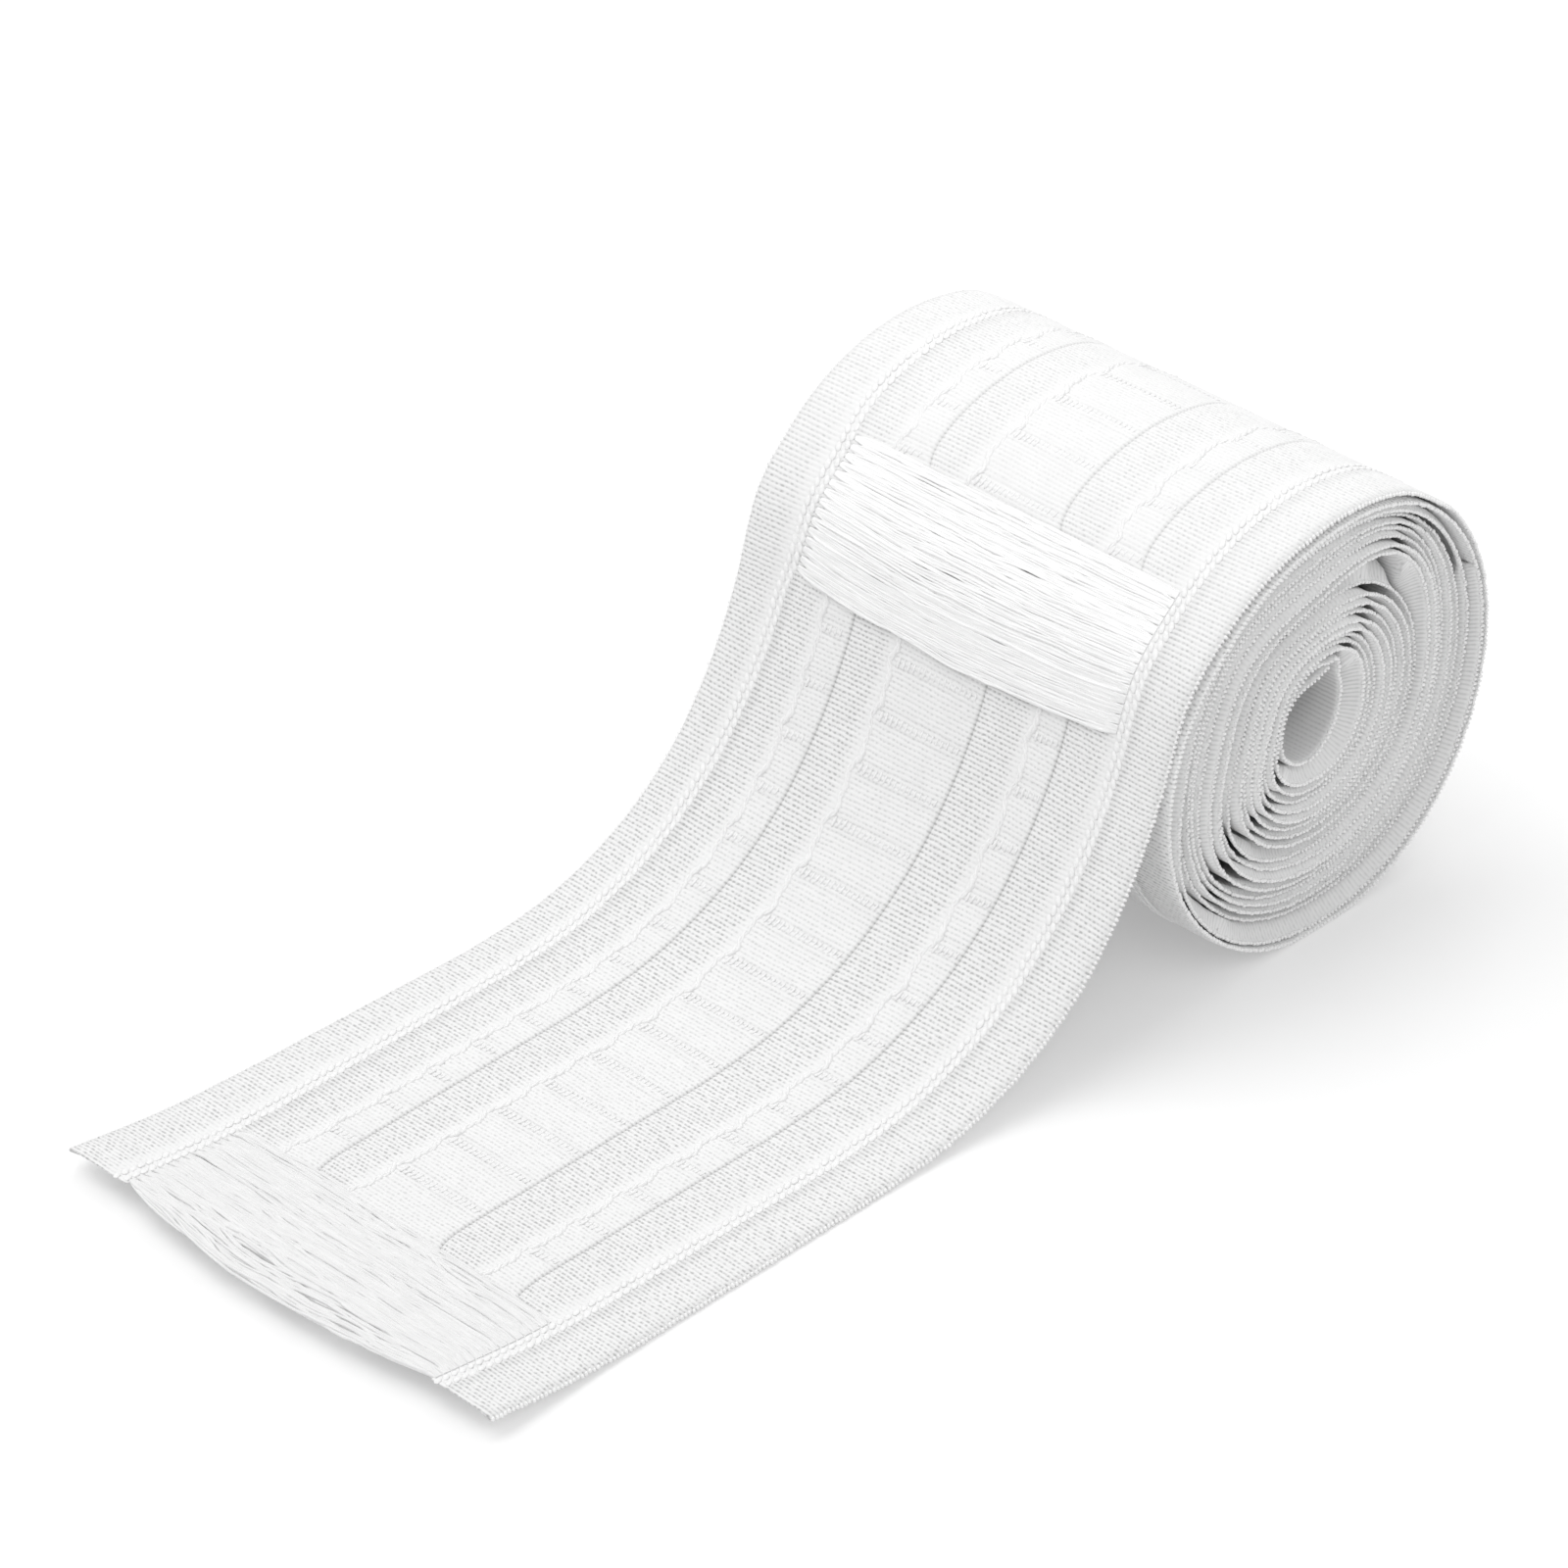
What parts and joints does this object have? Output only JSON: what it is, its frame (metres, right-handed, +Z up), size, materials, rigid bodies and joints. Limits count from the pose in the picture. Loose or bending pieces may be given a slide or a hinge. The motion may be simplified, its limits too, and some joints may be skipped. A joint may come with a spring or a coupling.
{
  "type": "roll of curtain heading tape",
  "caption": "Roll of woven white heading tape with cords, pockets and bands of loose crosswise threads; its loose end runs down the front and along the surface.",
  "frame": {"origin": "centre of the part's box, at its base on the surface", "axes": "+X across the tape, along the roll's axis; the roll lies towards +Y and the loose end runs towards -Y; +Z up"},
  "size_m": [0.077, 0.1816, 0.0632],
  "materials": {
    "cloth": "matt ribbed weave of white polyester yarn",
    "threads": "silky loose white threads"
  },
  "bodies": {
    "root": {"wound_roll": "cloth", "loose_end": "cloth", "upper_threads": "threads", "end_threads": "threads"}
  },
  "joints": []
}
